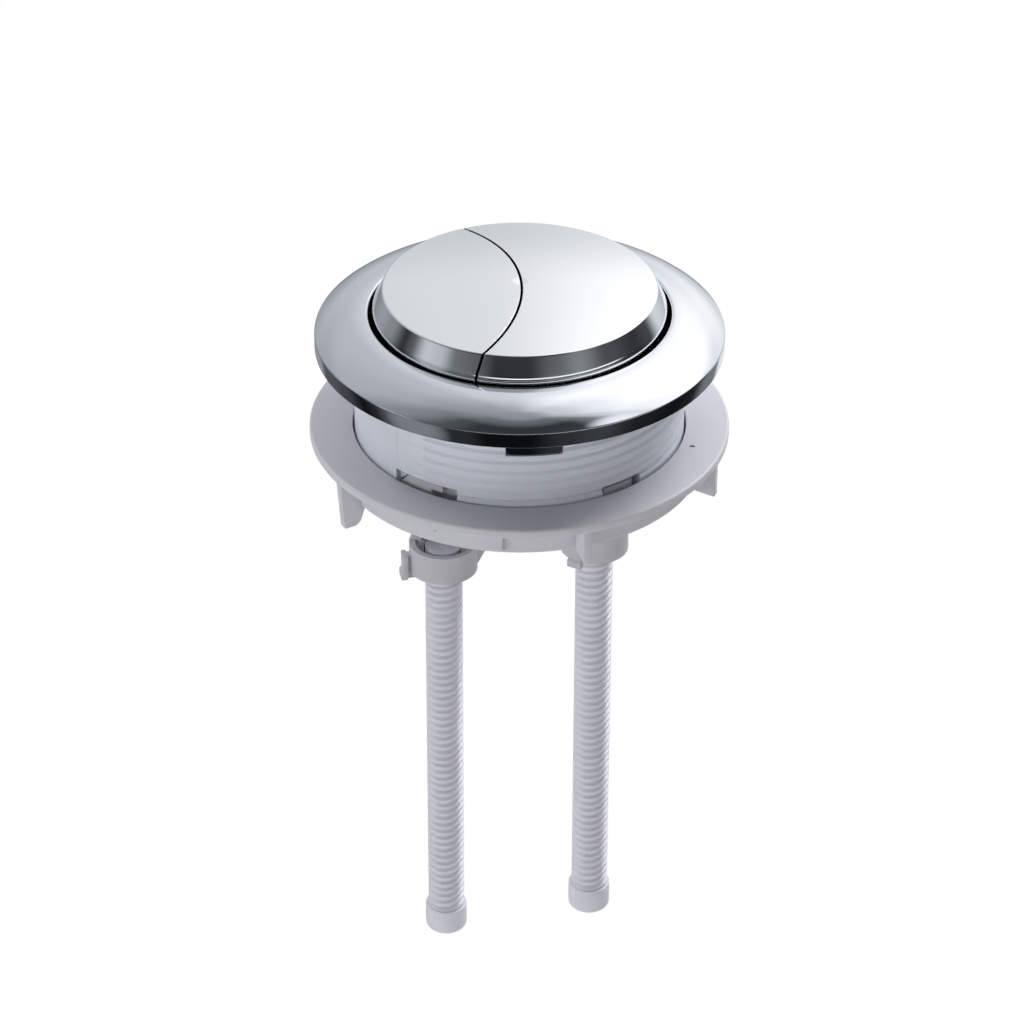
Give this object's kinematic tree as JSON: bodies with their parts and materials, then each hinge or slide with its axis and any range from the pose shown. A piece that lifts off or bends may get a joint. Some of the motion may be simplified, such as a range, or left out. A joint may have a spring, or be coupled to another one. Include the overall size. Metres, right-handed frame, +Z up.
{
  "type": "dual flush push button",
  "caption": "Round chrome push button for a cistern lid, split into a small and a large flush button, with a threaded barrel, a lock nut and long threaded push rods",
  "frame": {"origin": "on the axis of the lid hole, in the plane of the lid's top face, where the chrome ring sits", "axes": "+Z up through the buttons, X from the small button (-X) to the large button (+X), +Y to the back"},
  "size_m": [0.0732, 0.0732, 0.1381],
  "materials": {
    "ring_chrome": "moulded ABS with bright chrome plating",
    "button_chrome": "moulded ABS with bright chrome plating",
    "barrel_plastic": "white moulded plastic, as moulded",
    "cage_plastic": "white moulded plastic, as moulded",
    "nut_plastic": "white moulded plastic, as moulded",
    "plunger_plastic": "white moulded plastic, as moulded",
    "rod_plastic": "white moulded plastic, as moulded",
    "spring_steel": "drawn stainless spring wire"
  },
  "bodies": {
    "housing": {"bezel": "ring_chrome", "threaded_barrel": "barrel_plastic", "guide_cage": "cage_plastic", "small_spring": "spring_steel", "large_spring": "spring_steel"},
    "nut": {"lock_nut": "nut_plastic"},
    "small_push": {"small_button": "button_chrome", "small_plunger": "plunger_plastic", "small_rod_collar": "plunger_plastic"},
    "large_push": {"large_button": "button_chrome", "large_plunger": "plunger_plastic", "large_rod_collar": "plunger_plastic"},
    "small_rod_body": {"small_rod": "rod_plastic"},
    "large_rod_body": {"large_rod": "rod_plastic"}
  },
  "joints": [
    {"name": "small_press", "type": "slide", "parent": "housing", "child": "small_push", "axis": [0, 0, -1], "range_m": [0, 0.008], "stiffness_N_per_m": 400, "springref_m": -0.0075, "deforming": ["small_spring"]},
    {"name": "large_press", "type": "slide", "parent": "housing", "child": "large_push", "axis": [0, 0, -1], "range_m": [0, 0.008], "stiffness_N_per_m": 400, "springref_m": -0.0075, "deforming": ["large_spring"]},
    {"name": "small_rod_adjust", "type": "slide", "parent": "small_push", "child": "small_rod_body", "axis": [0, 0, 1], "range_m": [-0.003, 0.042]},
    {"name": "large_rod_adjust", "type": "slide", "parent": "large_push", "child": "large_rod_body", "axis": [0, 0, 1], "range_m": [-0.003, 0.042]},
    {"name": "nut_travel", "type": "slide", "parent": "housing", "child": "nut", "axis": [0, 0, 1], "range_m": [-0.112, 0.013]}
  ]
}
